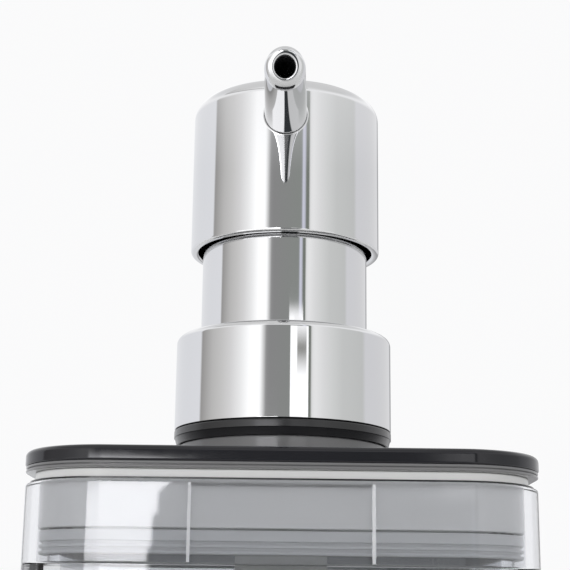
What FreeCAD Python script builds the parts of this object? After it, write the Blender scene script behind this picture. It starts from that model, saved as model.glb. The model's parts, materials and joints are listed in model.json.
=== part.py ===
import FreeCAD, Part
import math
import os
import Sketcher

# Counter-top soap pump dispenser: a clear rectangular container, a lift-off lid and a chromed lotion pump.
#
# Millimetres. +Z is up, the spout points along -Y, the pump's axis is the Z axis, and the origin is the
# middle of the underside of the base pad. Every piece is a body of its own, and its sizes are bound to
# the sheet "sizes".

Vector = FreeCAD.Vector

SIZES = [
    # Container and lid, seen from above as rounded rectangles about the pump's axis
    ("body_width", 82.0),
    ("body_depth", 64.0),
    ("corner_radius", 14.0),
    ("container_height", 105.1),
    ("container_wall", 2.5),
    ("floor_thickness", 4.0),
    ("foot_radius", 2.5),
    ("cavity_radius", 2.0),
    ("rim_radius", 0.5),
    ("mouth_inset", 4.0),
    ("mouth_wall", 2.0),
    ("mouth_height", 6.3),
    # Non-slip pad let into the container's underside
    ("pad_inset", 6.0),
    ("pad_recess", 1.0),
    ("pad_proud", 0.6),
    # Seal round the container's mouth
    ("seal_height", 3.6),
    ("seal_rise", 1.6),
    ("seal_groove", 0.5),
    ("seal_radius", 0.7),
    ("lid_clearance", 0.3),
    # Lid skirt with its finger panel
    ("skirt_height", 13.0),
    ("skirt_wall", 2.2),
    ("skirt_radius", 0.8),
    ("panel_width", 28.0),
    ("panel_margin", 0.7),
    ("panel_recess", 0.6),
    # Pale inner lid: a sheet under the cover plate, with a rim that holds the skirt
    ("liner_inset", 1.5),
    ("liner_thickness", 1.35),
    ("liner_wall", 1.4),
    ("liner_depth", 7.5),
    # Cover plate with the boss and threaded neck that carry the pump
    ("plate_overhang", 0.2),
    ("plate_thickness", 3.45),
    ("plate_edge_radius", 0.9),
    ("boss_radius", 18.2),
    ("boss_height", 3.6),
    ("neck_radius", 12.6),
    ("neck_bore_radius", 10.3),
    ("neck_height", 10.0),
    ("neck_chamfer", 0.6),
    # Screw thread between the neck and the closure
    ("thread_pitch", 4.23),
    ("thread_turns", 1.2),
    ("thread_depth", 1.1),
    ("thread_root_width", 2.0),
    ("thread_crest_width", 1.0),
    ("thread_start", 3.34),
    ("thread_radial_gap", 0.25),
    ("thread_axial_gap", 0.15),
    ("thread_overlap", 0.1),
    # Closure: black seat ring, chromed shell and the nut inside it
    ("seat_ring_height", 2.6),
    ("seat_ring_bore_radius", 14.2),
    ("seat_ring_edge_radius", 0.3),
    ("closure_radius", 19.0),
    ("closure_height", 16.45),
    ("closure_gap", 0.1),
    ("closure_wall", 1.3),
    ("closure_top_wall", 1.4),
    ("closure_edge_radius", 1.2),
    ("nut_lift", 0.4),
    # Pump housing, its gasket and the tube that feeds it
    ("pump_gasket_height", 1.0),
    ("pump_gasket_radius", 12.4),
    ("flange_thickness", 1.6),
    ("flange_radius", 12.6),
    ("barrel_bore_radius", 6.7),
    ("barrel_wall", 1.2),
    ("barrel_depth", 47.2),
    ("barrel_top_recess", 3.3),
    ("guide_well_radius", 8.5),
    ("guide_well_wall", 2.0),
    ("guide_well_height", 15.3),
    ("vent_radius", 0.6),
    ("vent_drop", 4.0),
    ("inlet_chamber_radius", 2.9),
    ("inlet_radius", 1.6),
    ("inlet_length", 2.2),
    ("ball_diameter", 4.76),
    ("ball_clearance", 0.05),
    ("inlet_lift", 1.5),
    ("outlet_lift", 1.0),
    ("stop_gap", 0.1),
    ("tube_radius", 3.5),
    ("tube_bore_radius", 2.5),
    ("tube_socket_wall", 1.35),
    ("tube_socket_depth", 11.0),
    ("tube_floor_gap", 2.5),
    ("tube_bevel", 5.0),
    # Parts that work inside the barrel
    ("press_gap", 0.05),
    ("running_gap", 0.05),
    ("assembly_gap", 0.1),
    ("swivel_gap", 0.3),
    ("cage_thickness", 1.6),
    ("cage_hub_radius", 3.9),
    ("cage_hub_height", 2.4),
    ("cage_hole_radius", 0.8),
    ("cage_hole_circle", 2.2),
    ("spring_wire_radius", 0.55),
    ("spring_mean_radius", 4.95),
    ("spring_turns", 7.5),
    ("hub_radius", 5.0),
    ("hub_height", 18.0),
    ("hub_flange_radius", 6.2),
    ("hub_flange_thickness", 1.5),
    ("piston_waist_radius", 6.1),
    ("piston_length", 14.0),
    ("piston_lip", 2.0),
    ("stem_radius", 3.5),
    ("stem_bore_radius", 1.5),
    ("stem_bead_radius", 3.9),
    ("stem_bead_height", 1.5),
    ("stem_collar_radius", 4.4),
    ("stem_collar_height", 1.5),
    ("stem_seat_radius", 2.6),
    ("guide_height", 5.5),
    ("wiper_radius", 6.0),
    ("wiper_height", 1.5),
    # Retainer that holds the closure on the pump, and the chromed neck sleeve over it
    ("sleeve_radius", 14.8),
    ("sleeve_wall", 1.2),
    ("sleeve_top_wall", 1.0),
    ("sleeve_bore_radius", 8.0),
    ("sleeve_edge_radius", 0.6),
    ("sleeve_overlap", 1.4),
    ("retainer_wall", 1.15),
    ("retainer_top_wall", 1.2),
    ("retainer_bore_radius", 6.5),
    # Head: chromed cup, the moulded core inside it and the spout
    ("neck_exposed", 15.55),
    ("head_radius", 17.0),
    ("head_height", 28.6),
    ("head_wall", 1.2),
    ("head_top_radius", 3.0),
    ("head_rim_radius", 0.5),
    ("core_start", 16.5),
    ("core_stem_radius", 6.0),
    ("core_stem_start", 4.0),
    ("core_socket_depth", 10.0),
    ("core_pocket_radius", 3.0),
    ("core_pocket_circle", 10.5),
    ("core_pocket_floor", 2.0),
    ("core_pocket_step", 60.0),
    ("outlet_chamber_radius", 2.9),
    ("spout_height", 21.2),
    ("spout_tilt", 4.75),
    ("spout_reach", 43.3),
    ("spout_root_radius", 3.72),
    ("spout_tip_radius", 3.25),
    ("spout_bore_radius", 1.65),
    ("spout_lip_radius", 0.9),
    ("spout_mouth_chamfer", 0.5),
    ("spout_shoulder", 15.1),
    ("spout_plug_radius", 3.1),
    ("spout_plug_length", 7.0),
    ("shell_hole_gap", 0.06),
]

document = FreeCAD.newDocument("soap_pump_dispenser")
sheet = document.addObject("Spreadsheet::Sheet", "sizes")
for row, (alias, number) in enumerate(SIZES, start=1):
    sheet.set(f"A{row}", alias)
    sheet.set(f"B{row}", str(number))
    sheet.setAlias(f"B{row}", alias)
document.recompute()

PIECES = []
TOLERANCE = 1e-4
CAGE_HOLES = 4
CORE_POCKETS = 5

# Heights above the table, from the pad upwards
SHOULDER = "sizes.pad_proud + sizes.container_height"
SKIRT_TOP = SHOULDER + " + sizes.skirt_height"
PLATE_BOTTOM = SKIRT_TOP + " + sizes.liner_thickness"
BOSS_TOP = PLATE_BOTTOM + " + sizes.plate_thickness + sizes.boss_height"
CLOSURE_SEAT = BOSS_TOP + " + sizes.seat_ring_height"
CLOSURE_BOTTOM = CLOSURE_SEAT + " + sizes.closure_gap"
CLOSURE_TOP = CLOSURE_BOTTOM + " + sizes.closure_height"
NECK_TOP = CLOSURE_SEAT + " + sizes.neck_height"
FLANGE_BOTTOM = NECK_TOP + " + sizes.pump_gasket_height"
FLANGE_TOP = FLANGE_BOTTOM + " + sizes.flange_thickness"
NUT_BOTTOM = CLOSURE_BOTTOM + " + sizes.nut_lift"
NUT_TOP = CLOSURE_TOP + " - sizes.closure_top_wall - sizes.assembly_gap"
RETAINER_SHOULDER = NUT_TOP + " + sizes.thread_axial_gap"
HEAD_RIM = CLOSURE_TOP + " + sizes.neck_exposed"
LEDGE = FLANGE_BOTTOM + " - sizes.barrel_depth"
SPRING_SEAT = LEDGE + " + sizes.cage_thickness"
GUIDE_BOTTOM = FLANGE_BOTTOM + " + sizes.barrel_top_recess"
PISTON_BOTTOM = (GUIDE_BOTTOM + " - sizes.assembly_gap - sizes.stem_collar_height"
                 " - sizes.assembly_gap - sizes.hub_height")
STEM_BOTTOM = PISTON_BOTTOM + " - sizes.assembly_gap - sizes.stem_bead_height"
STEM_TOP = HEAD_RIM + " + sizes.core_stem_start + sizes.core_socket_depth"
SLEEVE_TOP = HEAD_RIM + " + sizes.sleeve_overlap"

# Balls rest on seats cut at 45 degrees: from the point where a seat's cone would close, up to the
# ball's centre
BALL_RADIUS = "sizes.ball_diameter / 2"
SEAT_TO_CENTRE = f"({BALL_RADIUS} + sizes.ball_clearance) / sin(45 deg)"
INLET_BALL_CENTRE = f"{LEDGE} - sizes.stop_gap - sizes.inlet_lift - {BALL_RADIUS}"
INLET_APEX = f"{INLET_BALL_CENTRE} - {SEAT_TO_CENTRE}"
TUBE_SOCKET_TOP = f"{INLET_APEX} + sizes.inlet_radius - sizes.inlet_length"

# Outside radii of the housing, and of the retainer's spigot that presses over it
BARREL_RADIUS = "sizes.barrel_bore_radius + sizes.barrel_wall"
WELL_RADIUS = "sizes.guide_well_radius + sizes.guide_well_wall"
SPIGOT_RADIUS = WELL_RADIUS + " + sizes.press_gap + sizes.retainer_wall"

# Height above the head's rim at which the spout's axis crosses the pump's axis
SPOUT_RISE = "sizes.spout_height + sizes.head_radius * tan(sizes.spout_tilt * 1 deg)"


def evaluate(expression):
    """The number that an expression of sheet cells stands for."""
    result = sheet.evalExpression(expression)
    return float(getattr(result, "Value", result))


def new_body(label, height=None):
    """An empty body; height is the expression for the place of its own zero above the table."""
    body = document.addObject("PartDesign::Body", label)
    body.Label = label
    if height:
        body.setExpression("Placement.Base.z", height)
    PIECES.append(body)
    return body


def new_sketch(body, plane, name, height=None):
    """A sketch on one of the body's origin planes, lifted off it by the expression height."""
    sketch = body.newObject("Sketcher::SketchObject", name)
    support = next(item for item in body.Origin.OriginFeatures if item.Role == plane)
    sketch.AttachmentSupport = [(support, "")]
    sketch.MapMode = "FlatFace"
    if height:
        sketch.setExpression("AttachmentOffset.Base.z", height)
    return sketch


def bind(sketch, kind, *arguments, size):
    """Add one dimension to a sketch and tie it to an expression."""
    index = sketch.addConstraint(Sketcher.Constraint(kind, *arguments, evaluate(size)))
    sketch.setExpression(f"Constraints[{index}]", size)


def polygon(sketch, points):
    """A closed outline through points given as pairs of expressions."""
    corners = [Vector(evaluate(across), evaluate(up), 0) for across, up in points]
    count = len(corners)
    first = sketch.GeometryCount
    for index, corner in enumerate(corners):
        sketch.addGeometry(Part.LineSegment(corner, corners[(index + 1) % count]), False)
    for index, (across, up) in enumerate(points):
        here = first + index
        sketch.addConstraint(Sketcher.Constraint("Coincident", here, 2, first + (index + 1) % count, 1))
        if across == "0":
            sketch.addConstraint(Sketcher.Constraint("PointOnObject", here, 1, -2))
        else:
            bind(sketch, "DistanceX", -1, 1, here, 1, size=across)
        if up == "0":
            sketch.addConstraint(Sketcher.Constraint("PointOnObject", here, 1, -1))
        else:
            bind(sketch, "DistanceY", -1, 1, here, 1, size=up)


def rounded_rectangle(sketch, inset):
    """The plan of the container, drawn in by the expression inset on every side."""
    width = f"sizes.body_width - 2 * ({inset})"
    depth = f"sizes.body_depth - 2 * ({inset})"
    radius = f"sizes.corner_radius - ({inset})"
    half_width, half_depth, corner = evaluate(width) / 2, evaluate(depth) / 2, evaluate(radius)
    right, back = half_width - corner, half_depth - corner
    first = sketch.GeometryCount
    sides = [((-right, -half_depth), (right, -half_depth)), ((half_width, -back), (half_width, back)),
             ((right, half_depth), (-right, half_depth)), ((-half_width, back), (-half_width, -back))]
    for start, end in sides:
        sketch.addGeometry(Part.LineSegment(Vector(*start, 0), Vector(*end, 0)), False)
    quarter = math.pi / 2
    for index, (x, y) in enumerate([(right, -back), (right, back), (-right, back), (-right, -back)]):
        round_corner = Part.Circle(Vector(x, y, 0), Vector(0, 0, 1), corner)
        sketch.addGeometry(Part.ArcOfCircle(round_corner, (index - 1) * quarter, index * quarter), False)
    for side in range(4):
        line, arc, next_line = first + side, first + 4 + side, first + (side + 1) % 4
        sketch.addConstraint(Sketcher.Constraint("Tangent", line, 2, arc, 1))
        sketch.addConstraint(Sketcher.Constraint("Tangent", arc, 2, next_line, 1))
        sketch.addConstraint(Sketcher.Constraint("Horizontal" if side % 2 == 0 else "Vertical", line))
    for arc in range(first + 5, first + 8):
        sketch.addConstraint(Sketcher.Constraint("Equal", first + 4, arc))
    sketch.addConstraint(Sketcher.Constraint("Symmetric", first + 4, 3, first + 6, 3, -1, 1))
    bind(sketch, "DistanceX", first + 3, 1, first + 1, 1, size=width)
    bind(sketch, "DistanceY", first, 1, first + 2, 1, size=depth)
    bind(sketch, "Radius", first + 4, size=radius)


def circle(sketch, radius, across="0", up="0"):
    """A circle whose centre and radius are expressions."""
    centre = Vector(evaluate(across), evaluate(up), 0)
    index = sketch.addGeometry(Part.Circle(centre, Vector(0, 0, 1), evaluate(radius)), False)
    bind(sketch, "Radius", index, size=radius)
    if across == "0":
        sketch.addConstraint(Sketcher.Constraint("PointOnObject", index, 3, -2))
    else:
        bind(sketch, "DistanceX", -1, 1, index, 3, size=across)
    if up == "0":
        sketch.addConstraint(Sketcher.Constraint("PointOnObject", index, 3, -1))
    else:
        bind(sketch, "DistanceY", -1, 1, index, 3, size=up)


def add_feature(body, kind, name, profile, **settings):
    """A feature on a profile; settings that are text are expressions, apart from the feature's type."""
    feature = body.newObject("PartDesign::" + kind, name)
    feature.Profile = profile
    for key, value in settings.items():
        if isinstance(value, str) and key not in ("Type", "Mode"):
            feature.setExpression(key, value)
        else:
            setattr(feature, key, value)
    document.recompute()
    return feature


def cut_feature(body, kind, name, profile, **settings):
    """As add_feature, for a feature that has to take material away."""
    before = body.Shape.Volume
    feature = add_feature(body, kind, name, profile, **settings)
    if body.Shape.Volume > before - TOLERANCE:
        raise RuntimeError(f"{body.Label}: {name} cuts nothing")
    return feature


def pad_outline(body, name, inset, length, height=None):
    """Pad the container's plan, drawn in by inset, upwards from height."""
    sketch = new_sketch(body, "XY_Plane", name + "_plan", height)
    rounded_rectangle(sketch, inset)
    add_feature(body, "Pad", name, sketch, Length=length)


def pad_ring(body, name, outer_inset, inner_inset, length, height=None):
    """Pad the band between two insets of the container's plan."""
    sketch = new_sketch(body, "XY_Plane", name + "_plan", height)
    rounded_rectangle(sketch, outer_inset)
    rounded_rectangle(sketch, inner_inset)
    add_feature(body, "Pad", name, sketch, Length=length)


def cut_outline(body, name, insets, length, height=None, upwards=False):
    """Cut the container's plan, or the band between two insets of it, down or up from height."""
    sketch = new_sketch(body, "XY_Plane", name + "_plan", height)
    for inset in insets:
        rounded_rectangle(sketch, inset)
    cut_feature(body, "Pocket", name, sketch, Length=length, Reversed=upwards)


def pad_disc(body, name, radius, length, height):
    """Pad a disc on the pump's axis upwards from height."""
    sketch = new_sketch(body, "XY_Plane", name + "_plan", height)
    circle(sketch, radius)
    add_feature(body, "Pad", name, sketch, Length=length)


def cut_disc(body, name, radius, height):
    """Cut a disc on the pump's axis from height down to the body's zero."""
    sketch = new_sketch(body, "XY_Plane", name + "_plan", height)
    circle(sketch, radius)
    cut_feature(body, "Pocket", name, sketch, Length=height)


def revolve(body, name, points):
    """Turn a closed outline of (radius, height) expressions about the body's Z axis."""
    sketch = new_sketch(body, "XZ_Plane", name + "_section")
    polygon(sketch, points)
    add_feature(body, "Revolution", name, sketch, ReferenceAxis=(sketch, ["V_Axis"]))


def turned_ring(label, bottom, bore, radius, length):
    """A plain ring of rectangular section."""
    body = new_body(label, bottom)
    revolve(body, label + "_ring", [(bore, "0"), (radius, "0"), (radius, length), (bore, length)])
    return body


def finish_edges(body, kind, name, size, wanted):
    """Fillet or chamfer every edge of the body that the test wanted accepts."""
    base = body.Tip
    names = [f"Edge{number}" for number, edge in enumerate(base.Shape.Edges, start=1) if wanted(edge)]
    if not names:
        raise RuntimeError(f"{body.Label}: {name} finds no edge")
    feature = body.newObject("PartDesign::" + kind, name)
    feature.Base = (base, names)
    feature.setExpression("Radius" if kind == "Fillet" else "Size", size)
    document.recompute()


def is_level(edge, height):
    """Whether an edge lies flat at the height that an expression gives."""
    box = edge.BoundBox
    level = evaluate(height)
    return abs(box.ZMin - level) < TOLERANCE and abs(box.ZMax - level) < TOLERANCE


def on_outline(inset, height):
    """A test for edges on the container's plan, drawn in by inset, at height."""
    distance = evaluate(inset)
    corner = evaluate("sizes.corner_radius")
    straight_x = evaluate("sizes.body_width / 2") - corner
    straight_y = evaluate("sizes.body_depth / 2") - corner

    def wanted(edge):
        if not is_level(edge, height):
            return False
        middle = edge.valueAt((edge.FirstParameter + edge.LastParameter) / 2)
        over_x, over_y = abs(middle.x) - straight_x, abs(middle.y) - straight_y
        outside = math.hypot(max(over_x, 0), max(over_y, 0)) + min(max(over_x, over_y), 0)
        return abs(corner - outside - distance) < TOLERANCE
    return wanted


def on_circle(radius, height):
    """A test for the circular edge of a radius at a height."""
    size = evaluate(radius)

    def wanted(edge):
        return is_level(edge, height) and abs(getattr(edge.Curve, "Radius", -1) - size) < TOLERANCE
    return wanted


def repeat_round(body, name, feature, count, angle=360):
    """Repeat a cut about the body's Z axis."""
    pattern = body.newObject("PartDesign::PolarPattern", name)
    axis = next(item for item in body.Origin.OriginFeatures if item.Role == "Z_Axis")
    pattern.Originals = [feature]
    pattern.Axis = (axis, [""])
    if isinstance(angle, str):
        pattern.setExpression("Angle", angle)
    pattern.Occurrences = count
    body.Tip = pattern
    document.recompute()


def thread(body, name, root, crest, centre):
    """A helical ridge from the root radius to the crest radius, its first section's middle at centre."""
    sketch = new_sketch(body, "XZ_Plane", name + "_section")
    polygon(sketch, [(root, f"{centre} - sizes.thread_root_width / 2"),
                     (crest, f"{centre} - sizes.thread_crest_width / 2"),
                     (crest, f"{centre} + sizes.thread_crest_width / 2"),
                     (root, f"{centre} + sizes.thread_root_width / 2")])
    add_feature(body, "AdditiveHelix", name, sketch, ReferenceAxis=(sketch, ["V_Axis"]),
                Mode="pitch-turns-angle", Pitch="sizes.thread_pitch", Turns="sizes.thread_turns")


def spout_cut(body, name, points):
    """Cut an outline of (distance, radius) expressions, turned about the spout's own sloping axis."""
    sketch = new_sketch(body, "YZ_Plane", name + "_section")
    sketch.AttachmentOffset = FreeCAD.Placement(Vector(), FreeCAD.Rotation(Vector(0, 0, 1), 180))
    sketch.setExpression("AttachmentOffset.Base.y", SPOUT_RISE)
    sketch.setExpression("AttachmentOffset.Rotation.Angle", "180 deg + sizes.spout_tilt * 1 deg")
    polygon(sketch, points)
    cut_feature(body, "Groove", name, sketch, ReferenceAxis=(sketch, ["H_Axis"]))


def make_container():
    body = new_body("container", "sizes.pad_proud")
    top = "sizes.container_height + sizes.mouth_height"
    pad_outline(body, "walls", "0", "sizes.container_height")
    pad_outline(body, "mouth", "sizes.mouth_inset", "sizes.mouth_height", "sizes.container_height")
    cut_outline(body, "chamber", ["sizes.container_wall"],
                "sizes.container_height - sizes.container_wall - sizes.floor_thickness",
                "sizes.container_height - sizes.container_wall")
    finish_edges(body, "Fillet", "foot", "sizes.foot_radius", on_outline("0", "0"))
    finish_edges(body, "Fillet", "chamber_floor", "sizes.cavity_radius",
                 on_outline("sizes.container_wall", "sizes.floor_thickness"))
    cut_outline(body, "opening", ["sizes.mouth_inset + sizes.mouth_wall"],
                "sizes.mouth_height + sizes.container_wall", top)
    finish_edges(body, "Fillet", "mouth_rim", "sizes.rim_radius", on_outline("sizes.mouth_inset", top))
    cut_outline(body, "seal_seat",
                ["sizes.mouth_inset - sizes.seal_groove", "sizes.mouth_inset + sizes.seal_groove"],
                "sizes.seal_height", "sizes.container_height + sizes.seal_rise + sizes.seal_height")
    cut_outline(body, "pad_seat", ["sizes.pad_inset"], "sizes.pad_recess", upwards=True)


def make_base_pad():
    body = new_body("base_pad")
    inset = "sizes.pad_inset + sizes.press_gap"
    pad_outline(body, "pad", inset, "sizes.pad_recess + sizes.pad_proud")
    finish_edges(body, "Fillet", "pad_edge", "sizes.pad_proud / 2", on_outline(inset, "0"))


def make_mouth_seal():
    body = new_body("mouth_seal", SHOULDER + " + sizes.seal_rise")
    outer = "sizes.skirt_wall + sizes.lid_clearance"
    pad_ring(body, "bead", outer, "sizes.mouth_inset + sizes.seal_groove", "sizes.seal_height")
    for name, height in (("lower", "0"), ("upper", "sizes.seal_height")):
        finish_edges(body, "Fillet", name + "_edge", "sizes.seal_radius", on_outline(outer, height))


def make_lid_skirt():
    body = new_body("lid_skirt", SHOULDER)
    pad_ring(body, "band", "0", "sizes.skirt_wall", "sizes.skirt_height")
    finish_edges(body, "Fillet", "shoulder", "sizes.skirt_radius", on_outline("0", "sizes.skirt_height"))
    sketch = new_sketch(body, "XY_Plane", "finger_panel_plan")
    front = "-sizes.body_depth / 2"
    left, right = "-sizes.panel_width / 2", "sizes.panel_width / 2"
    polygon(sketch, [(left, f"{front} - sizes.panel_recess"), (right, f"{front} - sizes.panel_recess"),
                     (right, f"{front} + sizes.panel_recess"), (left, f"{front} + sizes.panel_recess")])
    cut_feature(body, "Pocket", "finger_panel", sketch, Length="sizes.skirt_height - sizes.panel_margin",
                Reversed=True)


def make_lid_liner():
    body = new_body("lid_liner", SKIRT_TOP)
    rim = "sizes.skirt_wall + sizes.press_gap"
    pad_outline(body, "sheet", "sizes.liner_inset", "sizes.liner_thickness")
    pad_ring(body, "rim", rim, rim + " + sizes.liner_wall", "sizes.liner_depth", "-sizes.liner_depth")
    cut_disc(body, "pump_hole", "sizes.neck_bore_radius", "sizes.liner_thickness")


def make_lid_plate():
    body = new_body("lid_plate", PLATE_BOTTOM)
    thickness = "sizes.plate_thickness"
    edge = "-sizes.plate_overhang"
    boss_top = "sizes.plate_thickness + sizes.boss_height"
    neck_length = "sizes.seat_ring_height + sizes.neck_height"
    neck_top = f"{boss_top} + {neck_length}"
    pad_outline(body, "plate", edge, thickness)
    for name, height in (("lower", "0"), ("upper", thickness)):
        finish_edges(body, "Fillet", name + "_edge", "sizes.plate_edge_radius", on_outline(edge, height))
    pad_disc(body, "boss", "sizes.boss_radius", "sizes.boss_height", thickness)
    pad_disc(body, "neck", "sizes.neck_radius", neck_length, boss_top)
    finish_edges(body, "Chamfer", "neck_lead", "sizes.neck_chamfer",
                 on_circle("sizes.neck_radius", neck_top))
    cut_disc(body, "bore", "sizes.neck_bore_radius", neck_top)
    thread(body, "neck_thread", "sizes.neck_radius - sizes.thread_overlap",
           "sizes.neck_radius + sizes.thread_depth",
           f"{boss_top} + sizes.seat_ring_height + sizes.thread_start")


def make_seat_ring():
    body = turned_ring("seat_ring", BOSS_TOP, "sizes.seat_ring_bore_radius", "sizes.closure_radius",
                       "sizes.seat_ring_height")
    for name, height in (("lower", "0"), ("upper", "sizes.seat_ring_height")):
        finish_edges(body, "Fillet", name + "_edge", "sizes.seat_ring_edge_radius",
                     on_circle("sizes.closure_radius", height))


def make_closure_shell():
    body = new_body("closure_shell", CLOSURE_BOTTOM)
    radius, height = "sizes.closure_radius", "sizes.closure_height"
    inner = "sizes.closure_radius - sizes.closure_wall"
    hole = "sizes.sleeve_radius + sizes.swivel_gap"
    ceiling = "sizes.closure_height - sizes.closure_top_wall"
    revolve(body, "shell", [(inner, "0"), (radius, "0"), (radius, height), (hole, height),
                            (hole, ceiling), (inner, ceiling)])
    finish_edges(body, "Fillet", "top_edge", "sizes.closure_edge_radius", on_circle(radius, height))


def make_closure_nut():
    body = new_body("closure_nut", NUT_BOTTOM)
    radius = "sizes.closure_radius - sizes.closure_wall - sizes.press_gap"
    bore = "sizes.neck_radius + sizes.thread_depth + sizes.thread_radial_gap"
    hole = SPIGOT_RADIUS + " + sizes.swivel_gap"
    top = f"{NUT_TOP} - ({NUT_BOTTOM})"
    ceiling = f"{FLANGE_TOP} + sizes.thread_axial_gap - ({NUT_BOTTOM})"
    revolve(body, "shell", [(bore, "0"), (radius, "0"), (radius, top), (hole, top),
                            (hole, ceiling), (bore, ceiling)])
    # Half the width of both ridges where they pass each other, so that the nut's ridge lies under the neck's
    slope = "(sizes.thread_root_width - sizes.thread_crest_width) / (2 * sizes.thread_depth)"
    shared = f"sizes.thread_root_width - {slope} * (sizes.thread_depth + sizes.thread_radial_gap)"
    thread(body, "nut_thread", bore + " + sizes.thread_overlap",
           "sizes.neck_radius + sizes.thread_radial_gap",
           f"sizes.thread_start - ({shared}) - sizes.thread_axial_gap - sizes.closure_gap - sizes.nut_lift")


def make_pump_gasket():
    turned_ring("pump_gasket", NECK_TOP, BARREL_RADIUS + " + sizes.press_gap", "sizes.pump_gasket_radius",
                "sizes.pump_gasket_height")


def make_pump_housing():
    body = new_body("pump_housing", FLANGE_BOTTOM)
    ledge = "-sizes.barrel_depth"
    chamber, inlet = "sizes.inlet_chamber_radius", "sizes.inlet_radius"
    seat_top = f"{INLET_APEX} + {chamber} - ({FLANGE_BOTTOM})"
    seat_bottom = f"{INLET_APEX} + {inlet} - ({FLANGE_BOTTOM})"
    socket_top = f"{TUBE_SOCKET_TOP} - ({FLANGE_BOTTOM})"
    bottom = f"{socket_top} - sizes.tube_socket_depth"
    socket = "sizes.tube_radius + sizes.press_gap"
    spigot = socket + " + sizes.tube_socket_wall"
    well, well_top = "sizes.guide_well_radius", "sizes.guide_well_height"
    recess = "sizes.barrel_top_recess"
    revolve(body, "barrel", [
        (spigot, bottom), (spigot, seat_top), (BARREL_RADIUS, f"{ledge} - sizes.barrel_wall"),
        (BARREL_RADIUS, "0"), ("sizes.flange_radius", "0"), ("sizes.flange_radius", "sizes.flange_thickness"),
        (WELL_RADIUS, "sizes.flange_thickness"), (WELL_RADIUS, well_top), (well, well_top), (well, recess),
        ("sizes.barrel_bore_radius", recess), ("sizes.barrel_bore_radius", ledge), (chamber, ledge),
        (chamber, seat_top), (inlet, seat_bottom), (inlet, socket_top), (socket, socket_top),
        (socket, bottom)])
    sketch = new_sketch(body, "XZ_Plane", "vents_section")
    circle(sketch, "sizes.vent_radius", up="-sizes.vent_drop")
    cut_feature(body, "Pocket", "vents", sketch, Type="ThroughAll", Midplane=True)


def make_dip_tube():
    bottom = "sizes.pad_proud + sizes.floor_thickness + sizes.tube_floor_gap"
    length = f"{TUBE_SOCKET_TOP} - sizes.assembly_gap - ({bottom})"
    body = turned_ring("dip_tube", bottom, "sizes.tube_bore_radius", "sizes.tube_radius", length)
    sketch = new_sketch(body, "XZ_Plane", "bevel_section")
    polygon(sketch, [("-sizes.tube_radius", "0"), ("sizes.tube_radius", "0"),
                     ("sizes.tube_radius", "sizes.tube_bevel")])
    cut_feature(body, "Pocket", "bevel", sketch, Type="ThroughAll", Midplane=True)


def make_ball(label, centre):
    """A valve ball; centre is the expression for its height."""
    ball = document.addObject("Part::Sphere", label)
    ball.Label = label
    ball.setExpression("Radius", BALL_RADIUS)
    ball.setExpression("Placement.Base.z", centre)
    PIECES.append(ball)


def make_ball_cage():
    body = new_body("ball_cage", LEDGE)
    radius = "sizes.barrel_bore_radius - sizes.press_gap"
    top = "sizes.cage_thickness + sizes.cage_hub_height"
    revolve(body, "disc", [("0", "0"), (radius, "0"), (radius, "sizes.cage_thickness"),
                           ("sizes.cage_hub_radius", "sizes.cage_thickness"), ("sizes.cage_hub_radius", top),
                           ("0", top)])
    sketch = new_sketch(body, "XY_Plane", "flow_hole_plan", top)
    circle(sketch, "sizes.cage_hole_radius", across="sizes.cage_hole_circle")
    hole = cut_feature(body, "Pocket", "flow_hole", sketch, Length=top)
    repeat_round(body, "flow_holes", hole, CAGE_HOLES)


def make_return_spring():
    body = new_body("return_spring", SPRING_SEAT)
    end = "sizes.spring_wire_radius + sizes.press_gap"
    sketch = new_sketch(body, "XZ_Plane", "wire_section")
    circle(sketch, "sizes.spring_wire_radius", across="sizes.spring_mean_radius", up=end)
    add_feature(body, "AdditiveHelix", "coil", sketch, ReferenceAxis=(sketch, ["V_Axis"]),
                Mode="height-turns-angle", Turns="sizes.spring_turns",
                Height=f"{PISTON_BOTTOM} - ({SPRING_SEAT}) - 2 * ({end})")


def make_piston_hub():
    body = new_body("piston_hub", PISTON_BOTTOM)
    bore = "sizes.stem_radius + sizes.running_gap"
    revolve(body, "hub", [(bore, "0"), ("sizes.hub_flange_radius", "0"),
                          ("sizes.hub_flange_radius", "sizes.hub_flange_thickness"),
                          ("sizes.hub_radius", "sizes.hub_flange_thickness"),
                          ("sizes.hub_radius", "sizes.hub_height"), (bore, "sizes.hub_height")])


def make_piston_seal():
    body = new_body("piston_seal", PISTON_BOTTOM + " + sizes.hub_flange_thickness + sizes.press_gap")
    bore = "sizes.hub_radius + sizes.press_gap"
    lip, waist = "sizes.barrel_bore_radius - sizes.running_gap", "sizes.piston_waist_radius"
    length, lip_length = "sizes.piston_length", "sizes.piston_lip"
    flare = f"({lip} - {waist})"
    revolve(body, "cup", [(bore, "0"), (lip, "0"), (lip, lip_length), (waist, f"{lip_length} + {flare}"),
                          (waist, f"{length} - {lip_length} - {flare}"), (lip, f"{length} - {lip_length}"),
                          (lip, length), (bore, length)])


def make_stem():
    body = new_body("stem", STEM_BOTTOM)
    radius, bore = "sizes.stem_radius", "sizes.stem_bore_radius"
    bead, bead_top = "sizes.stem_bead_radius", "sizes.stem_bead_height"
    collar = "sizes.stem_collar_radius"
    collar_bottom = "sizes.stem_bead_height + sizes.hub_height + 2 * sizes.assembly_gap"
    collar_top = f"{collar_bottom} + sizes.stem_collar_height"
    top = f"{STEM_TOP} - ({STEM_BOTTOM})"
    revolve(body, "tube", [(bore, "0"), (radius, "0"), (bead, f"{bead_top} / 2"), (bead, bead_top),
                           (radius, bead_top), (radius, collar_bottom), (collar, collar_bottom),
                           (collar, collar_top), (radius, collar_top), (radius, top),
                           ("sizes.stem_seat_radius", top),
                           (bore, f"{top} - sizes.stem_seat_radius + {bore}")])


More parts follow.
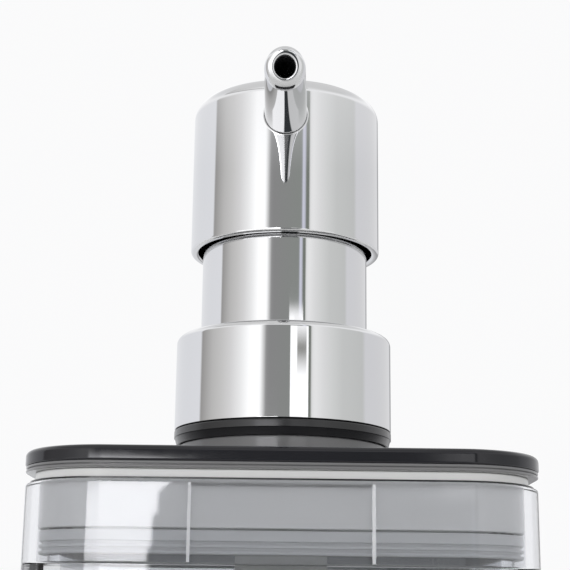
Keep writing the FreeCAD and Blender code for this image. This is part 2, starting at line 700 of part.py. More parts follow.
def make_stem_guide():
    body = new_body("stem_guide", GUIDE_BOTTOM)
    bore, radius = "sizes.stem_radius + sizes.running_gap", "sizes.guide_well_radius - sizes.press_gap"
    step = "sizes.guide_height - sizes.wiper_height"
    revolve(body, "bush", [(bore, "0"), (radius, "0"), (radius, "sizes.guide_height"),
                           ("sizes.wiper_radius", "sizes.guide_height"), ("sizes.wiper_radius", step),
                           (bore, step)])


def make_stem_wiper():
    turned_ring("stem_wiper", GUIDE_BOTTOM + " + sizes.guide_height - sizes.wiper_height",
                "sizes.stem_radius + sizes.running_gap", "sizes.wiper_radius - sizes.press_gap",
                "sizes.wiper_height")


def make_retainer():
    body = new_body("retainer", FLANGE_TOP)
    bore = WELL_RADIUS + " + sizes.press_gap"
    radius = "sizes.sleeve_radius - sizes.sleeve_wall - sizes.press_gap"
    shoulder = f"{RETAINER_SHOULDER} - ({FLANGE_TOP})"
    top = f"{SLEEVE_TOP} - sizes.sleeve_top_wall - sizes.assembly_gap - ({FLANGE_TOP})"
    ceiling = f"{top} - sizes.retainer_top_wall"
    hole = "sizes.retainer_bore_radius"
    revolve(body, "collar", [(bore, "0"), (SPIGOT_RADIUS, "0"), (SPIGOT_RADIUS, shoulder), (radius, shoulder),
                             (radius, top), (hole, top), (hole, ceiling), (bore, ceiling)])


def make_neck_sleeve():
    body = new_body("neck_sleeve", RETAINER_SHOULDER)
    radius, inner = "sizes.sleeve_radius", "sizes.sleeve_radius - sizes.sleeve_wall"
    top = f"{SLEEVE_TOP} - ({RETAINER_SHOULDER})"
    ceiling = f"{top} - sizes.sleeve_top_wall"
    hole = "sizes.sleeve_bore_radius"
    revolve(body, "sleeve", [(inner, "0"), (radius, "0"), (radius, top), (hole, top), (hole, ceiling),
                             (inner, ceiling)])
    finish_edges(body, "Fillet", "top_edge", "sizes.sleeve_edge_radius", on_circle(radius, top))


def make_head_shell():
    body = new_body("head_shell", HEAD_RIM)
    radius, inner = "sizes.head_radius", "sizes.head_radius - sizes.head_wall"
    top, ceiling = "sizes.head_height", "sizes.head_height - sizes.head_wall"
    revolve(body, "cup", [(inner, "0"), (radius, "0"), (radius, top), ("0", top), ("0", ceiling),
                          (inner, ceiling)])
    finish_edges(body, "Fillet", "top_edge", "sizes.head_top_radius", on_circle(radius, top))
    finish_edges(body, "Fillet", "inner_top_edge", "sizes.head_top_radius - sizes.head_wall",
                 on_circle(inner, ceiling))
    finish_edges(body, "Fillet", "rim", "sizes.head_rim_radius", on_circle(radius, "0"))
    hole = "sizes.spout_root_radius + sizes.shell_hole_gap"
    start, end = "sizes.head_radius / 2", "sizes.spout_reach"
    spout_cut(body, "spout_hole", [(start, "0"), (end, "0"), (end, hole), (start, hole)])


def make_actuator_core():
    body = new_body("actuator_core", HEAD_RIM)
    radius = "sizes.head_radius - sizes.head_wall - sizes.press_gap"
    top = "sizes.head_height - sizes.head_wall - sizes.press_gap"
    socket, stem_start = "sizes.stem_radius + sizes.press_gap", "sizes.core_stem_start"
    socket_top = f"{stem_start} + sizes.core_socket_depth"
    chamber = "sizes.outlet_chamber_radius"
    chamber_top = (f"{socket_top} - sizes.stem_seat_radius + {SEAT_TO_CENTRE} + {BALL_RADIUS}"
                   " + sizes.outlet_lift + sizes.stop_gap")
    riser = "sizes.spout_bore_radius"
    revolve(body, "core", [
        ("0", SPOUT_RISE), (riser, SPOUT_RISE), (riser, chamber_top), (chamber, chamber_top),
        (chamber, socket_top), (socket, socket_top), (socket, stem_start),
        ("sizes.core_stem_radius", stem_start), ("sizes.core_stem_radius", "sizes.core_start"),
        (radius, "sizes.core_start"), (radius, top), ("0", top)])
    finish_edges(body, "Chamfer", "top_edge", "sizes.head_top_radius - sizes.head_wall",
                 on_circle(radius, top))
    shoulder = "sizes.spout_shoulder"
    plug = "sizes.spout_plug_radius + sizes.press_gap"
    seat = "sizes.spout_root_radius + sizes.press_gap"
    plug_end = f"{shoulder} - sizes.spout_plug_length - sizes.assembly_gap"
    spout_cut(body, "spout_socket", [
        ("0", "0"), ("sizes.spout_reach", "0"), ("sizes.spout_reach", seat), (shoulder, seat),
        (shoulder, plug), (plug_end, plug), (plug_end, riser), ("0", riser)])
    sketch = new_sketch(body, "XY_Plane", "relief_plan", top)
    step = "sizes.core_pocket_step * 1 deg"
    circle(sketch, "sizes.core_pocket_radius",
           across=f"sizes.core_pocket_circle * cos({step} / 2)",
           up=f"-sizes.core_pocket_circle * sin({step} / 2)")
    relief = cut_feature(body, "Pocket", "relief", sketch,
                         Length=f"{top} - sizes.core_start - sizes.core_pocket_floor")
    repeat_round(body, "reliefs", relief, CORE_POCKETS, angle=f"{CORE_POCKETS - 1} * {step}")


def make_spout():
    body = new_body("spout", HEAD_RIM + " + " + SPOUT_RISE)
    body.Placement.Rotation = FreeCAD.Rotation(Vector(1, 0, 0), 90)
    body.setExpression("Placement.Rotation.Angle", "90 deg + sizes.spout_tilt * 1 deg")
    bore, root, tip = "sizes.spout_bore_radius", "sizes.spout_root_radius", "sizes.spout_tip_radius"
    plug, shoulder, end = "sizes.spout_plug_radius", "sizes.spout_shoulder", "sizes.spout_reach"
    plug_end = f"{shoulder} - sizes.spout_plug_length"
    revolve(body, "tube", [(bore, plug_end), (plug, plug_end), (plug, shoulder), (root, shoulder), (tip, end),
                           (bore, end)])
    finish_edges(body, "Fillet", "lip", "sizes.spout_lip_radius", on_circle(tip, end))
    finish_edges(body, "Chamfer", "mouth", "sizes.spout_mouth_chamfer", on_circle(bore, end))


make_container()
make_base_pad()
make_mouth_seal()
make_lid_skirt()
make_lid_liner()
make_lid_plate()
make_seat_ring()
make_closure_shell()
make_closure_nut()
make_pump_gasket()
make_pump_housing()
make_dip_tube()
make_ball("inlet_ball", INLET_BALL_CENTRE)
make_ball_cage()
make_return_spring()
make_piston_hub()
make_piston_seal()
make_stem()
make_ball("outlet_ball", f"{STEM_TOP} - sizes.stem_seat_radius + {SEAT_TO_CENTRE}")
make_stem_guide()
make_stem_wiper()
make_retainer()
make_neck_sleeve()
make_actuator_core()
make_head_shell()
make_spout()
document.recompute()

for item in document.Objects:
    if "Invalid" in item.State or "Error" in item.State:
        raise RuntimeError(f"{item.Label}: {item.State}")
for piece in PIECES:
    if piece.Shape.isNull() or not piece.Shape.isValid() or len(piece.Shape.Solids) != 1:
        raise RuntimeError(f"{piece.Label} is not one valid solid")

os.makedirs("parts", exist_ok=True)
for piece in PIECES:
    piece.Shape.exportStep(f"parts/{piece.Label}.step")
    box = piece.Shape.BoundBox
    print(f"{piece.Label:16s} {piece.Shape.Volume:10.1f} mm3  z {box.ZMin:7.2f} to {box.ZMax:7.2f}"
          f"  x {box.XMin:7.2f} to {box.XMax:7.2f}  y {box.YMin:7.2f} to {box.YMax:7.2f}")
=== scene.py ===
"""Looks of the counter-top soap pump dispenser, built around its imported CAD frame.

Metres, in the frame's own axes: +Z is up, the spout points along -Y and the pump's axis is the Z axis.
"""

import json
import math

import bmesh
import bpy
from mathutils import Matrix, Vector


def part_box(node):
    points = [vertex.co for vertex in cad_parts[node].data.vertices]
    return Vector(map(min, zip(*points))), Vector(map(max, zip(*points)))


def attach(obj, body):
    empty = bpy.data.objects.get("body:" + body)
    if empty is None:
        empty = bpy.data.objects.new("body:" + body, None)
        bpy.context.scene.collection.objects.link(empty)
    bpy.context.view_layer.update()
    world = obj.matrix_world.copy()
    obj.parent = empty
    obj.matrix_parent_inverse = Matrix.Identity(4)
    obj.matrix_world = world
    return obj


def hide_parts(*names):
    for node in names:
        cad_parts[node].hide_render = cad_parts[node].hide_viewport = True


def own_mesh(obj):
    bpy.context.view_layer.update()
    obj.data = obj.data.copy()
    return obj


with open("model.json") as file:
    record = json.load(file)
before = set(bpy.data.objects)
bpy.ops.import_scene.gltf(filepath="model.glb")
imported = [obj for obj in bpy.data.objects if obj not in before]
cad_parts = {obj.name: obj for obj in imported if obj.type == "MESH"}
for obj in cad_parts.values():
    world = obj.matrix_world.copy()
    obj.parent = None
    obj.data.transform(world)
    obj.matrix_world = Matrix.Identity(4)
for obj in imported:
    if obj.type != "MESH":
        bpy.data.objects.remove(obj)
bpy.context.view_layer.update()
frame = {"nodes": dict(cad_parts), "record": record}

MM = 0.001

# Camera: in front of the container, below the spout and looking up at it
CAMERA_PLACE = (0.0001, -0.2353, 0.0977)
CAMERA_PITCH = math.radians(14.07)
CAMERA_ROLL = math.radians(0.71)
CAMERA_LENS = 84.7
CAMERA_SENSOR = 36.0

# Round pieces: segments about the axis and along a quarter of a rounded edge, the radius below which a ring
# is a single point, and the angle in degrees from which an edge is crisp
AROUND = 192
QUARTER = 8
POLE_RADIUS = 0.0001 * MM
SHARP_ANGLE = 35.0
# The container's plan has as many points as a circle: along half of the finger panel, over its step, along
# each side and round each corner. The front also has its middle, the step's end and one more by the corner
PANEL_STEPS = 5
STEP_POINTS = 6
FRONT_POINTS = PANEL_STEPS + STEP_POINTS + 3
SIDE_STEPS = 8
CORNER_STEPS = AROUND // 4 - SIDE_STEPS - FRONT_POINTS

# Shapes that the looks add to the CAD's sizes, piece by piece

# Cover plate with its lower layer, boss, neck and thread
BODY_CORNER = 14.0 * MM
PLATE_EDGE = 0.9 * MM
PLATE_OVERHANG = 0.2 * MM
PLATE_THICKNESS = 3.45 * MM
PLATE_LAYER = 1.05 * MM
PLATE_LOW_EDGE = 0.3 * MM
LAYER_INSET = 0.12 * MM
LAYER_BEAD = 0.24 * MM
LAYER_GROOVE = 0.1 * MM
BOSS_RADIUS = 18.2 * MM
BOSS_EDGE = 0.35 * MM
NECK_RADIUS = 12.6 * MM
NECK_BORE = 10.3 * MM
NECK_LEAD = 0.6 * MM
THREAD_PITCH = 4.23 * MM
THREAD_TURNS = 1.2
THREAD_STEPS = 144
THREAD_LEAD = 8
THREAD_TIP = 0.2
THREAD_DEPTH = 1.05 * MM
THREAD_ROOT = 1.9 * MM
THREAD_CREST = 0.9 * MM
THREAD_ROOT_SINK = 0.1 * MM
THREAD_START = 3.34 * MM

# Clear band with its finger panel, the black strip of painted shade over it, the pale inner lid and the
# mouth's seal
SKIRT_WALL = 2.2 * MM
SKIRT_SHOULDER = 0.5 * MM
SKIRT_LOW_EDGE = 0.35 * MM
SHADE_LINE_THICKNESS = 0.3 * MM
SHADE_LINE_INSET = 0.7 * MM
PANEL_HALF = 13.6 * MM
PANEL_SLOPE = 0.6 * MM
# The frosted strips on the panel's steps are painted paler, a painted glint: the share of each step's slope
# left clear at either end, and below, how far in from the front they reach
FROST_GLINT_SHARE = 0.2
PANEL_RECESS = 0.6 * MM
FROST_GLINT_REACH = 1.5 * PANEL_RECESS
PANEL_MARGIN = 0.05 * MM
PANEL_DROP = 0.75 * MM
LINER_THICKNESS = 1.35 * MM
LINER_INSET = 1.5 * MM
LINER_RIM_INSET = 2.25 * MM
LINER_WALL = 1.4 * MM
LINER_EDGE = 0.2 * MM
SEAL_INSET = 2.5 * MM
SEAL_SEAT = 4.5 * MM
SEAL_GROOVE = 0.55 * MM
SEAL_ROUND = 0.22 * MM
SEAL_RIB = 0.5 * MM
SEAL_GAP = 0.45 * MM

# Black ring, closure, sleeve, head and spout
RING_BORE = 14.2 * MM
RING_STEP = 1.15 * MM
RING_UNDERCUT = 0.47 * MM
RING_EDGE = 0.3 * MM
CLOSURE_WALL = 1.3 * MM
CLOSURE_TOP_WALL = 1.4 * MM
CLOSURE_EDGE = 1.2 * MM
CLOSURE_HOLE = 15.1 * MM
RIM_EDGE = 0.12 * MM
SLEEVE_WALL = 1.2 * MM
SLEEVE_TOP_WALL = 1.0 * MM
SLEEVE_BORE = 8.0 * MM
SLEEVE_EDGE = 0.6 * MM
HEAD_WALL = 1.4 * MM
HEAD_LIP = 0.5 * MM
HEAD_LIP_LIFT = 0.15 * MM
HEAD_EDGE = 3.0 * MM
SPOUT_TILT = math.radians(4.35)
SPOUT_TURN = math.radians(-0.45)
SPOUT_RISE = 21.2 * MM
SPOUT_START = 14.6 * MM
SPOUT_REACH = 43.27 * MM
SPOUT_ROOT = 3.72 * MM
SPOUT_TIP = 3.25 * MM
SPOUT_BORE = 1.65 * MM
SPOUT_BORE_EDGE = 0.3 * MM
SPOUT_BORE_END = 10.0 * MM
# A black sleeve of painted shade lines the spout's bore: its outer radius, and two lines on, the thickness
# of its floor
SPOUT_SHADE_RADIUS = 1.6 * MM
SPOUT_CUT = math.radians(20)
SPOUT_SHADE_FLOOR = 0.5 * MM
FILLET = 0.25 * MM
FILLET_STEPS = 6

# Return spring
SPRING_WIRE = 0.55 * MM
SPRING_TURNS = 7.5
SPRING_END_TURNS = 1.0
SPRING_END_PITCH = 1.15 * MM
SPRING_STEPS = 48
SPRING_SECTION = 12

# Studio: what the metal sees, by bearing in degrees from the camera's side (-Y), + to the right. The ceiling
# comes in between two sines of the elevation
CEILING = (0.90, 0.90, 0.90)
CEILING_RAMP = (0.55, 0.85)
STUDIO = [
    (-180, (0.84, 0.85, 0.87)), (-150, (0.97, 0.98, 1.01)), (-98, (1.05, 1.06, 1.10)),
    (-96, (0.45, 0.44, 0.43)), (-80, (0.72, 0.71, 0.70)), (-68, (0.84, 0.83, 0.82)),
    (-57, (0.99, 0.98, 0.98)), (-46, (1.24, 1.24, 1.24)), (-36, (1.56, 1.56, 1.56)),
    (-24.5, (1.56, 1.56, 1.56)), (-18, (0.40, 0.40, 0.40)), (-14, (0.36, 0.36, 0.36)),
    (19.5, (0.35, 0.37, 0.35)), (21, (0.85, 0.86, 1.00)), (23.5, (0.85, 0.86, 1.00)),
    (25, (0.27, 0.29, 0.26)), (28.3, (0.25, 0.27, 0.24)), (29.8, (1.12, 1.12, 1.12)),
    (34, (1.18, 1.18, 1.18)), (43, (1.04, 1.04, 1.04)), (53, (0.93, 0.94, 0.93)),
    (65, (0.82, 0.83, 0.82)), (92, (0.77, 0.78, 0.77)), (97, (0.91, 0.91, 0.94)),
    (145, (0.91, 0.91, 0.92)), (156, (0.88, 0.88, 0.90)), (160, (0.45, 0.45, 0.46)),
    (173, (0.45, 0.45, 0.46)), (180, (0.84, 0.84, 0.86)),
]
# Lighter and darker parts of that room: bearings, elevations, softness (all degrees) and colour
PATCHES = [
    ((-180, 180), (25, 42), 12.0, (1.22, 1.22, 1.23)),
    ((-96, -12), (39, 43), 1.5, (0.45, 0.45, 0.45)),
    ((-5, 18), (-60, -3), 3.0, (0.06, 0.065, 0.07)),
    ((-60, -6), (-60, -1), 3.0, (1.80, 1.80, 1.82)),
    ((19, 60), (-60, -1), 3.0, (1.10, 1.10, 1.10)),
    ((7, 26), (5, 13.0), 0.7, (1.70, 1.70, 1.72)),
    ((14, 24), (10.8, 12.2), 1.2, (0.40, 0.40, 0.38)),
    ((-27, -7), (1.2, 6.2), 3.0, (12.0, 12.0, 12.4)),
    ((-12, -5.6), (1.2, 6.2), 0.3, (14.0, 14.0, 14.4)),
    ((-8.0, -5.35), (2.8, 6.2), 0.3, (14.0, 14.0, 14.4)),
    ((-8.0, -5.05), (4.2, 6.2), 0.3, (14.0, 14.0, 14.4)),
    ((-8.0, -4.75), (5.2, 6.2), 0.3, (14.0, 14.0, 14.4)),
]
# What the camera sees behind the part, directly and through clear plastic
BACKDROP = (0.96, 0.96, 0.965)
# Floor: its colour, how much darker its clouds are and how small, and where it starts to fade and ends
FLOOR_COLOUR = (0.90, 0.90, 0.89)
FLOOR_WANDER = 0.985
FLOOR_CLOUD = 14.0
FLOOR_ROUGHNESS = 0.7
FLOOR_RADIUS = 0.45
FLOOR_FADE = 0.20

# Surface detail: the span that most noise lies in, how fine the small noise is, how much of the roughness is
# specks, and how deep the relief goes
NOISE_SPAN = (0.3, 0.7)
FINE_DETAIL = 4.0
SPECK_SHARE = 0.4
RELIEF_DEPTH = 0.02 * MM
CLEAR_IOR = 1.49
SMOKE_IOR = 1.46
BOSS_IOR = 1.5
SILICONE_IOR = 1.41


def material(name):
    """A new node material and its Principled shader."""
    made = bpy.data.materials.new(name)
    made.use_nodes = True
    return made, made.node_tree.nodes["Principled BSDF"]


def add_node(tree, kind, **settings):
    """A node with its settings; a setting whose name is an input's sets that input."""
    node = tree.nodes.new(kind)
    for key, value in settings.items():
        label = key.replace("_", " ")
        if label in node.inputs:
            node.inputs[label].default_value = value
        else:
            setattr(node, key, value)
    return node


def ramp(tree, source, low, high, start=0.0, end=1.0):
    """A number from low to high as source goes from start to end."""
    node = add_node(tree, "ShaderNodeMapRange")
    for name, value in (("From Min", start), ("From Max", end), ("To Min", low), ("To Max", high)):
        node.inputs[name].default_value = value
    tree.links.new(source, node.inputs["Value"])
    return node.outputs["Result"]


def maths(tree, operation, *values):
    """A math node over links or plain numbers."""
    node = add_node(tree, "ShaderNodeMath", operation=operation)
    for socket, value in zip(node.inputs, values):
        if isinstance(value, float):
            socket.default_value = value
        else:
            tree.links.new(value, socket)
    return node.outputs["Value"]


def noise(tree, scale, detail=3.0, stretch=(1, 1, 1)):
    """Noise over object coordinates, drawn out along an axis by stretch."""
    place = add_node(tree, "ShaderNodeTexCoord")
    mapping = add_node(tree, "ShaderNodeMapping")
    mapping.inputs["Scale"].default_value = stretch
    cloud = add_node(tree, "ShaderNodeTexNoise", Scale=scale, Detail=detail)
    tree.links.new(place.outputs["Object"], mapping.inputs["Vector"])
    tree.links.new(mapping.outputs["Vector"], cloud.inputs["Vector"])
    return cloud.outputs["Fac"]


def mix_colour(tree, factor, first, second):
    """A colour between two plain ones, by a factor."""
    node = add_node(tree, "ShaderNodeMix", data_type="RGBA")
    node.inputs["A"].default_value = (*first, 1)
    node.inputs["B"].default_value = (*second, 1)
    tree.links.new(factor, node.inputs["Factor"])
    return node.outputs["Result"]


def mix_towards(tree, factor, source, colour):
    """A linked colour that turns to a plain one, by a factor."""
    node = add_node(tree, "ShaderNodeMix", data_type="RGBA")
    node.inputs["B"].default_value = (*colour, 1)
    tree.links.new(source, node.inputs["A"])
    tree.links.new(factor, node.inputs["Factor"])
    return node.outputs["Result"]


def bump(tree, shader, height, strength, distance):
    """Surface relief from a height."""
    node = add_node(tree, "ShaderNodeBump", Strength=strength, Distance=distance)
    tree.links.new(height, node.inputs["Height"])
    tree.links.new(node.outputs["Normal"], shader.inputs["Normal"])


def finish_surface(made, shader, colours, roughness, grain, relief, smear=30.0, stretch=(1, 1, 1)):
    """Colour that wanders over the surface, roughness of smears and fine specks, and a fine relief."""
    tree = made.node_tree
    cloud = noise(tree, smear)
    fine = noise(tree, grain, FINE_DETAIL, stretch)
    tree.links.new(mix_colour(tree, cloud, *colours), shader.inputs["Base Color"])
    blend = maths(tree, "MULTIPLY_ADD", cloud, 1 - SPECK_SHARE, ramp(tree, fine, 0.0, SPECK_SHARE))
    tree.links.new(ramp(tree, blend, *roughness, *NOISE_SPAN), shader.inputs["Roughness"])
    bump(tree, shader, fine, relief, RELIEF_DEPTH)


def chrome():
    """Bright plate: clean mirror, with faint wipe marks and a soft wander in the polish."""
    made, shader = material("chrome")
    shader.inputs["Metallic"].default_value = 1.0
    finish_surface(made, shader, ((0.63, 0.635, 0.645), (0.66, 0.66, 0.665)), roughness=(0.018, 0.05),
                   grain=900.0, relief=0.05, stretch=(1, 1, 0.15))
    return made


def clear_plastic(name, thin, thick):
    """Moulded clear plastic with a breath of smoke in it."""
    made, shader = material(name)
    shader.inputs["Transmission Weight"].default_value = 1.0
    shader.inputs["IOR"].default_value = CLEAR_IOR
    finish_surface(made, shader, (thin, thick), roughness=(0.0, 0.04), grain=250.0, relief=0.05)
    return made


def painted_glint_frost():
    """Matt frosted finish for the edge of a moulded step, painted paler than the clear band: a painted glint
    along the edge.
    """
    made, shader = material("frost_and_painted_glint")
    shader.inputs["Transmission Weight"].default_value = 0.35
    shader.inputs["IOR"].default_value = CLEAR_IOR
    finish_surface(made, shader, ((0.78, 0.79, 0.82), (0.88, 0.89, 0.91)), roughness=(0.3, 0.5),
                   grain=900.0, relief=0.2)
    return made


def smoke_plastic():
    """Glossy smoked cover plate, nearly black."""
    made, shader = material("smoke")
    shader.inputs["IOR"].default_value = SMOKE_IOR
    finish_surface(made, shader, ((0.003, 0.003, 0.005), (0.008, 0.008, 0.012)), roughness=(0.05, 0.12),
                   grain=400.0, relief=0.08)
    return made


def painted_lit_smoke():
    """Smoked plastic of the boss and of the plate's lower layer, painted paler than the cover plate: painted
    light, standing for light that comes through and off them.
    """
    made, shader = material("boss")
    shader.inputs["IOR"].default_value = BOSS_IOR
    finish_surface(made, shader, ((0.13, 0.13, 0.132), (0.18, 0.18, 0.182)), roughness=(0.08, 0.2),
                   grain=500.0, relief=0.08)
    return made


def black_ring():
    """Satin black of the ring under the closure, and the painted shade of the line over the clear band and
    of the spout's bore.
    """
    made, shader = material("black")
    finish_surface(made, shader, ((0.010, 0.010, 0.011), (0.018, 0.018, 0.020)), roughness=(0.16, 0.28),
                   grain=700.0, relief=0.15)
    return made


def soft_clear():
    """Milky clear silicone of the seals."""
    made, shader = material("silicone")
    shader.inputs["Transmission Weight"].default_value = 0.25
    shader.inputs["IOR"].default_value = SILICONE_IOR
    finish_surface(made, shader, ((0.84, 0.85, 0.86), (0.91, 0.92, 0.92)), roughness=(0.25, 0.42),
                   grain=500.0, relief=0.2)
    return made


def moulded(name, first, second, transmission=0.0):
    """Moulded plastic of the works inside."""
    made, shader = material(name)
    shader.inputs["Transmission Weight"].default_value = transmission
    finish_surface(made, shader, (first, second), roughness=(0.28, 0.42), grain=600.0, relief=0.15)
    return made


def steel():
    """Drawn spring wire and ground balls."""
    made, shader = material("steel")
    shader.inputs["Metallic"].default_value = 1.0
    finish_surface(made, shader, ((0.50, 0.50, 0.49), (0.60, 0.60, 0.59)), roughness=(0.15, 0.30),
                   grain=1200.0, relief=0.2, stretch=(1, 1, 0.1))
    return made


def pad_rubber():
    """Grained rubber foot."""
    made, shader = material("rubber")
    finish_surface(made, shader, ((0.030, 0.030, 0.032), (0.050, 0.050, 0.052)), roughness=(0.55, 0.80),
                   grain=800.0, relief=0.6)
    return made


MATERIALS = {
    "chrome_plate": chrome(),
    "clear_plastic": clear_plastic("clear", (0.70, 0.71, 0.73), (0.75, 0.76, 0.77)),
    "smoke_plastic": smoke_plastic(),
    "black_rubber": black_ring(),
    "clear_silicone": soft_clear(),
    "pad_rubber": pad_rubber(),
    "natural_plastic": moulded("natural", (0.78, 0.78, 0.75), (0.84, 0.84, 0.81), 0.3),
    "seal_plastic": moulded("seal", (0.66, 0.68, 0.70), (0.74, 0.76, 0.78), 0.2),
    "white_plastic": moulded("white", (0.80, 0.80, 0.79), (0.86, 0.86, 0.85)),
    "stainless_steel": steel(),
}


def ease(t):
    """0 to 1 as t goes from 0 to 1, level at both ends."""
    return t * t * (3 - 2 * t)


def arc(across, up, radius, start, end):
    """Points of a rounded edge, from one angle to another in degrees, about a centre (across, up)."""
    steps = max(2, round(QUARTER * abs(end - start) / 90))
    angles = [math.radians(start + (end - start) * step / steps) for step in range(steps + 1)]
    return [(across + radius * math.cos(a), up + radius * math.sin(a)) for a in angles]


def smooth_by_angle(mesh):
    """Smooth shading, with sharp edges left crisp."""
    shape = bmesh.new()
    shape.from_mesh(mesh)
    for face in shape.faces:
        face.smooth = True
    for edge in shape.edges:
        edge.smooth = len(edge.link_faces) == 2 and edge.calc_face_angle() < math.radians(SHARP_ANGLE)
    shape.to_mesh(mesh)
    shape.free()


def skin(name, rings, finish, place=None):
    """A closed skin through rings of equally many points. A ring of one point is a pole."""
    shape = bmesh.new()
    loops = [[shape.verts.new(point) for point in ring] for ring in rings]
    for loop, after in zip(loops, loops[1:] + loops[:1]):
        count = max(len(loop), len(after))
        if count == 1:
            continue
        for k in range(count):
            n = (k + 1) % count
            if len(loop) == 1:
                shape.faces.new((loop[0], after[n], after[k]))
            elif len(after) == 1:
                shape.faces.new((loop[k], loop[n], after[0]))
            else:
                shape.faces.new((loop[k], loop[n], after[n], after[k]))
    if place:
        bmesh.ops.transform(shape, matrix=place, verts=shape.verts)
    return mesh_piece(name, shape, finish)


def tube(name, sections, finish):
    """A ridge or wire through sections of equally many points, with flat ends."""
    shape = bmesh.new()
    loops = [[shape.verts.new(point) for point in section] for section in sections]
    for loop, after in zip(loops, loops[1:]):
        for k in range(len(loop)):
            n = (k + 1) % len(loop)
            shape.faces.new((loop[k], loop[n], after[n], after[k]))
    shape.faces.new(loops[0])
    shape.faces.new(loops[-1])
    return mesh_piece(name, shape, finish)


def mesh_piece(name, shape, finish):
    """A piece from its finished shape, shaded so that large faces stay true beside rounded edges."""
    bmesh.ops.recalc_face_normals(shape, faces=shape.faces)
    mesh = bpy.data.meshes.new(name)
    shape.to_mesh(mesh)
    shape.free()
    smooth_by_angle(mesh)
    mesh.materials.append(finish)
    piece = bpy.data.objects.new(name, mesh)
    level = piece.modifiers.new("true_faces", "WEIGHTED_NORMAL")
    level.keep_sharp = True
    bpy.context.scene.collection.objects.link(piece)
    return piece


def round_ring(radius, height):
    """A circle about the Z axis, from the front (-Y) towards +X."""
    if radius < POLE_RADIUS:
        return [(0, 0, height)]
    angles = [2 * math.pi * k / AROUND for k in range(AROUND)]
    return [(radius * math.sin(a), -radius * math.cos(a), height) for a in angles]


def round_rings(outline):
    """Rings for an outline of (radius, height)."""
    return [round_ring(*point) for point in outline]


def lathe(name, outline, finish):
    """A closed outline of (radius, height) turned about Z."""
    return skin(name, round_rings(outline), finish)


def body_half():
    """Half the width and half the depth of the container's plan."""
    low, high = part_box("lid_skirt")
    return (high.x - low.x) / 2, (high.y - low.y) / 2


def panel_share(x):
    """How much of the finger panel's recess holds at x: all over the panel, and nothing beyond its step."""
    return 1 - ease(min(1.0, max(0.0, (x - PANEL_HALF) / PANEL_SLOPE)))


def plan_ring(inset, height, recess=0.0):
    """The container's plan, drawn in by inset, from the front's middle towards +X, with the panel let in."""
    half_width, half_depth = (half - inset for half in body_half())
    corner = BODY_CORNER - inset
    right, back = half_width - corner, half_depth - corner
    across = [PANEL_HALF * k / PANEL_STEPS for k in range(PANEL_STEPS + 1)]
    across += [PANEL_HALF + PANEL_SLOPE * k / (STEP_POINTS + 1) for k in range(1, STEP_POINTS + 2)]
    across += [(across[-1] + right) / 2]
    turn = [math.pi / 2 * (k / CORNER_STEPS - 1) for k in range(CORNER_STEPS + 1)]
    corner_and_side = [(right + corner * math.cos(a), -back + corner * math.sin(a)) for a in turn]
    corner_and_side += [(half_width, -back * (1 - k / SIDE_STEPS)) for k in range(1, SIDE_STEPS)]
    front = [(x, -half_depth + recess * panel_share(x)) for x in across]
    behind = [(x, half_depth) for x in across]
    half = front + corner_and_side + [(half_width, 0.0)]
    half += [(x, -y) for x, y in reversed(corner_and_side)] + behind[::-1]
    points = half + [(-x, y) for x, y in reversed(half[1:-1])]
    return [(x, y, height) for x, y in points]


def plan_rings(outline, recess=0.0):
    """Rings for an outline of (outward distance from the container's side, height)."""
    return [plan_ring(-outward, height, recess) for outward, height in outline]


def dress(piece, body, slot, *nodes):
    """Let a piece stand for CAD nodes on a body."""
    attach(piece, body)
    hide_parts(*nodes)
    return piece


def paint_glint_on_panel_sides(band, bottom, top):
    """Give the finger panel's two upright edges their matt frosted finish, painted paler as a glint along
    each edge.
    """
    band.data.materials.append(painted_glint_frost())
    near = PANEL_HALF + FROST_GLINT_SHARE * PANEL_SLOPE
    far = PANEL_HALF + (1 - FROST_GLINT_SHARE) * PANEL_SLOPE
    front = FROST_GLINT_REACH - body_half()[1]
    for face in band.data.polygons:
        x, y, z = face.center
        if near < abs(x) < far and y < front and bottom < z < top:
            face.material_index = 1


def lid_skirt():
    """Clear band of the lid with its finger panel, and a black strip over it where it joins the lid: painted
    shade, standing for the shadow and dark reflection in that joint.
    """
    low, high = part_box("lid_skirt")
    shoulder = high.z - SHADE_LINE_THICKNESS
    panel_top = shoulder - SKIRT_SHOULDER - PANEL_MARGIN
    rings = [plan_ring(SKIRT_WALL, low.z)]
    rings += plan_rings(arc(-SKIRT_LOW_EDGE, low.z + SKIRT_LOW_EDGE, SKIRT_LOW_EDGE, -90, 0), PANEL_RECESS)
    for k in range(STEP_POINTS + 1):
        t = k / STEP_POINTS
        rings += [plan_ring(0, panel_top - PANEL_DROP * (1 - t), PANEL_RECESS * (1 - ease(t)))]
    rings += plan_rings(arc(-SKIRT_SHOULDER, shoulder - SKIRT_SHOULDER, SKIRT_SHOULDER, 0, 90))
    rings += [plan_ring(SKIRT_WALL, shoulder)]
    finish = clear_plastic("clear_band", (0.86, 0.87, 0.90), (0.90, 0.91, 0.93))
    band = dress(skin("lid_band", rings, finish), "lid", "clear_plastic", "lid_skirt")
    paint_glint_on_panel_sides(band, low.z + 2 * SKIRT_LOW_EDGE, panel_top)
    # A thin black strip on the band's top, under the inner lid: painted shade for the dark line in the joint
    painted_shade_line = [(-SHADE_LINE_INSET, shoulder), (-SHADE_LINE_INSET, high.z), (-SKIRT_WALL, high.z), (-SKIRT_WALL, shoulder)]
    dress(skin("lid_painted_shade_line", plan_rings(painted_shade_line), MATERIALS["black_rubber"]), "lid", "black_rubber")


